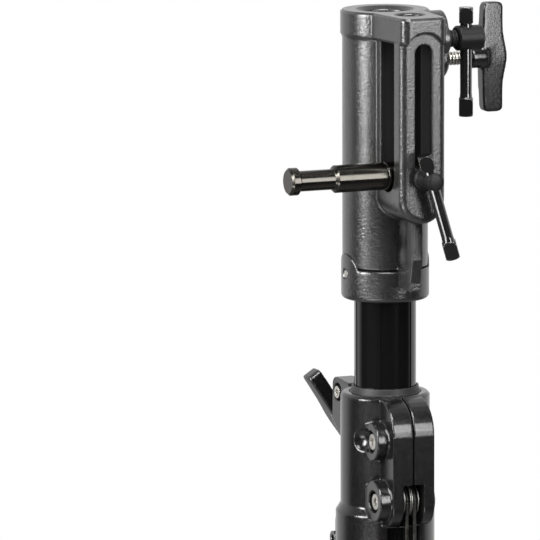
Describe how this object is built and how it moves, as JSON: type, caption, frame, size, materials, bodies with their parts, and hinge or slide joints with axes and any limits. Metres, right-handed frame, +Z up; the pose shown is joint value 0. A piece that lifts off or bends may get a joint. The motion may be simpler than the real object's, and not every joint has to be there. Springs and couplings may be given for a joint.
{
  "type": "pulley light stand",
  "caption": "Wind-up light stand: cable-driven risers on a folding tripod, with a combination head holding a 28 mm socket and a tilting 16 mm spigot.",
  "frame": {"origin": "on the floor, under the column's axis, at the centre of the tripod", "axes": "+Z up along the risers, +X from the column's axis towards the pulleys, the winch and the spigot's channel, +Y towards the head's two clamp handles"},
  "size_m": [0.8642, 0.9936, 1.6497],
  "materials": {
    "cast_grey": "grainy satin powder coat",
    "cast_dark": "dark satin powder coat",
    "black_anodised": "gloss black anodising",
    "gloss_black": "gloss black plating",
    "bright_steel": "bright zinc plating",
    "dark_chrome": "polished dark chrome",
    "sheave_steel": "turned steel",
    "cable_steel": "stranded steel cable",
    "brace_steel": "satin black paint",
    "nylon": "black nylon",
    "rubber": "black rubber"
  },
  "bodies": {
    "base": {"base_column": "black_anodised", "column_cap": "rubber", "lower_collar": "cast_dark", "lower_bush": "nylon", "lower_bolts": "bright_steel", "lower_pinch_bolt": "bright_steel", "lower_ear_bolt": "gloss_black", "winch_housing": "cast_grey", "winch_cover": "cast_grey", "leg_collar": "cast_grey", "leg_pins": "bright_steel", "cable_winch_outer": "cable_steel", "cable_winch_wrap": "cable_steel", "cable_winch_inner": "cable_steel", "cable_head_outer": "cable_steel"},
    "lower_sheave": {"lower_sheaves": "sheave_steel"},
    "lower_clamp": {"lower_clamp_screw": "bright_steel", "lower_clamp_wing": "cast_grey"},
    "riser_1": {"riser_1_tube": "black_anodised", "riser_1_foot": "nylon", "upper_collar": "cast_dark", "upper_bush": "nylon", "upper_bolts": "bright_steel", "upper_pinch_bolt": "bright_steel", "upper_ear_bolt": "gloss_black", "cable_head_wrap": "cable_steel", "cable_head_inner": "cable_steel"},
    "upper_sheave": {"upper_sheaves": "sheave_steel"},
    "upper_clamp": {"upper_clamp_screw": "bright_steel", "upper_clamp_wing": "cast_grey"},
    "riser_2": {"riser_2_tube": "black_anodised", "riser_2_foot": "nylon", "head_casting": "cast_grey", "head_collar": "cast_grey", "head_pins": "bright_steel", "rear_housing": "cast_grey", "rear_bolt": "gloss_black"},
    "carriage": {"pivot_bolt": "bright_steel"},
    "spigot": {"spigot": "dark_chrome"},
    "tilt_handle": {"tilt_nut": "gloss_black"},
    "tilt_bar": {"tilt_bar": "gloss_black"},
    "stud_handle": {"stud_screw": "gloss_black"},
    "stud_bar": {"stud_bar": "gloss_black"},
    "socket_handle": {"socket_screw": "bright_steel", "socket_wing": "cast_grey"},
    "winch_drum": {"winch_drum": "bright_steel", "winch_crank": "cast_grey"},
    "crank_grip": {"crank_grip": "nylon"},
    "leg_1": {"leg_tube_1": "black_anodised", "leg_foot_1": "rubber"},
    "leg_2": {"leg_tube_2": "black_anodised", "leg_foot_2": "rubber"},
    "leg_3": {"leg_tube_3": "black_anodised", "leg_foot_3": "rubber"},
    "brace_1": {"brace_1": "brace_steel"},
    "brace_2": {"brace_2": "brace_steel"},
    "brace_3": {"brace_3": "brace_steel"},
    "brace_collar": {"brace_collar": "cast_grey"},
    "brace_knob": {"brace_knob": "nylon"}
  },
  "joints": [
    {"name": "riser_1_slide", "type": "slide", "parent": "base", "child": "riser_1", "axis": [0, 0, 1], "range_m": [0, 0.9], "deforming": ["cable_winch_inner", "cable_head_outer"]},
    {"name": "riser_2_slide", "type": "slide", "parent": "riser_1", "child": "riser_2", "axis": [0, 0, 1], "range_m": [0, 0.9], "deforming": ["cable_head_inner"]},
    {"name": "lower_sheave_spin", "type": "hinge", "parent": "base", "child": "lower_sheave", "pos_m": [0.035, 0, 1.2095], "axis": [0, 1, 0], "range_deg": [0, 6446]},
    {"name": "upper_sheave_spin", "type": "hinge", "parent": "riser_1", "child": "upper_sheave", "pos_m": [0.028, 0, 1.3645], "axis": [0, 1, 0], "range_deg": [0, 6446]},
    {"name": "winch_drum_spin", "type": "hinge", "parent": "base", "child": "winch_drum", "pos_m": [0.061, 0, 0.93], "axis": [0, -1, 0], "range_deg": [0, 2865]},
    {"name": "crank_grip_spin", "type": "hinge", "parent": "winch_drum", "child": "crank_grip", "pos_m": [0.061, 0, 0.8], "axis": [0, 1, 0], "continuous": true},
    {"name": "lower_clamp_turn", "type": "hinge", "parent": "base", "child": "lower_clamp", "pos_m": [-0.068, 0, 1.243], "axis": [-1, 0, 0], "continuous": true},
    {"name": "upper_clamp_turn", "type": "hinge", "parent": "riser_1", "child": "upper_clamp", "pos_m": [-0.061, 0, 1.398], "axis": [-1, 0, 0], "continuous": true},
    {"name": "spigot_slide", "type": "slide", "parent": "riser_2", "child": "carriage", "axis": [0, 0, 1], "range_m": [0, 0.068]},
    {"name": "spigot_tilt", "type": "hinge", "parent": "carriage", "child": "spigot", "pos_m": [0.0345, 0, 1.555], "axis": [-1, 0, 0], "range_deg": [0, 90]},
    {"name": "tilt_handle_turn", "type": "hinge", "parent": "carriage", "child": "tilt_handle", "pos_m": [0.0646, 0, 1.555], "axis": [1, 0, 0], "continuous": true},
    {"name": "tilt_bar_slide", "type": "slide", "parent": "tilt_handle", "child": "tilt_bar", "axis": [0, -0.289, 0.9573], "range_m": [0, 0.028]},
    {"name": "stud_handle_turn", "type": "hinge", "parent": "riser_2", "child": "stud_handle", "pos_m": [0.0345, 0.03, 1.632], "axis": [0, -1, 0], "range_deg": [0, 200]},
    {"name": "stud_bar_slide", "type": "slide", "parent": "stud_handle", "child": "stud_bar", "axis": [0, 0, 1], "range_m": [0, 0.024]},
    {"name": "socket_handle_turn", "type": "hinge", "parent": "riser_2", "child": "socket_handle", "pos_m": [0, 0.05, 1.616], "axis": [0, 1, 0], "continuous": true},
    {"name": "leg_1_fold", "type": "hinge", "parent": "base", "child": "leg_1", "pos_m": [0.029, 0.05023, 0.7], "axis": [-0.866, 0.5, 0], "range_deg": [0, 36]},
    {"name": "brace_1_fold", "type": "hinge", "parent": "leg_1", "child": "brace_1", "pos_m": [0.11717, 0.20294, 0.4573], "axis": [-0.866, 0.5, 0], "range_deg": [-72, 0]},
    {"name": "leg_2_fold", "type": "hinge", "parent": "base", "child": "leg_2", "pos_m": [-0.058, 0, 0.7], "axis": [0, -1, 0], "range_deg": [0, 36]},
    {"name": "brace_2_fold", "type": "hinge", "parent": "leg_2", "child": "brace_2", "pos_m": [-0.23434, 0, 0.4573], "axis": [0, -1, 0], "range_deg": [-72, 0]},
    {"name": "leg_3_fold", "type": "hinge", "parent": "base", "child": "leg_3", "pos_m": [0.029, -0.05023, 0.7], "axis": [0.866, 0.5, 0], "range_deg": [0, 36]},
    {"name": "brace_3_fold", "type": "hinge", "parent": "leg_3", "child": "brace_3", "pos_m": [0.11717, -0.20294, 0.4573], "axis": [0.866, 0.5, 0], "range_deg": [-72, 0]},
    {"name": "brace_collar_slide", "type": "slide", "parent": "base", "child": "brace_collar", "axis": [0, 0, 1], "range_m": [-0.1146, 0]},
    {"name": "brace_knob_turn", "type": "hinge", "parent": "brace_collar", "child": "brace_knob", "pos_m": [0.055, 0, 0.21459], "axis": [1, 0, 0], "continuous": true}
  ],
  "couplings": [
    {"joint": "riser_2_slide", "follows": "riser_1_slide", "ratio": 1},
    {"joint": "lower_sheave_spin", "follows": "riser_1_slide", "rad_per_m": 125},
    {"joint": "upper_sheave_spin", "follows": "riser_1_slide", "rad_per_m": 125},
    {"joint": "winch_drum_spin", "follows": "riser_1_slide", "rad_per_m": 55.556},
    {"joint": "brace_1_fold", "follows": "leg_1_fold", "ratio": -2},
    {"joint": "leg_2_fold", "follows": "leg_1_fold", "ratio": 1},
    {"joint": "brace_2_fold", "follows": "leg_1_fold", "ratio": -2},
    {"joint": "leg_3_fold", "follows": "leg_1_fold", "ratio": 1},
    {"joint": "brace_3_fold", "follows": "leg_1_fold", "ratio": -2},
    {"joint": "brace_collar_slide", "follows": "leg_1_fold", "m_per_rad": -0.18238}
  ]
}
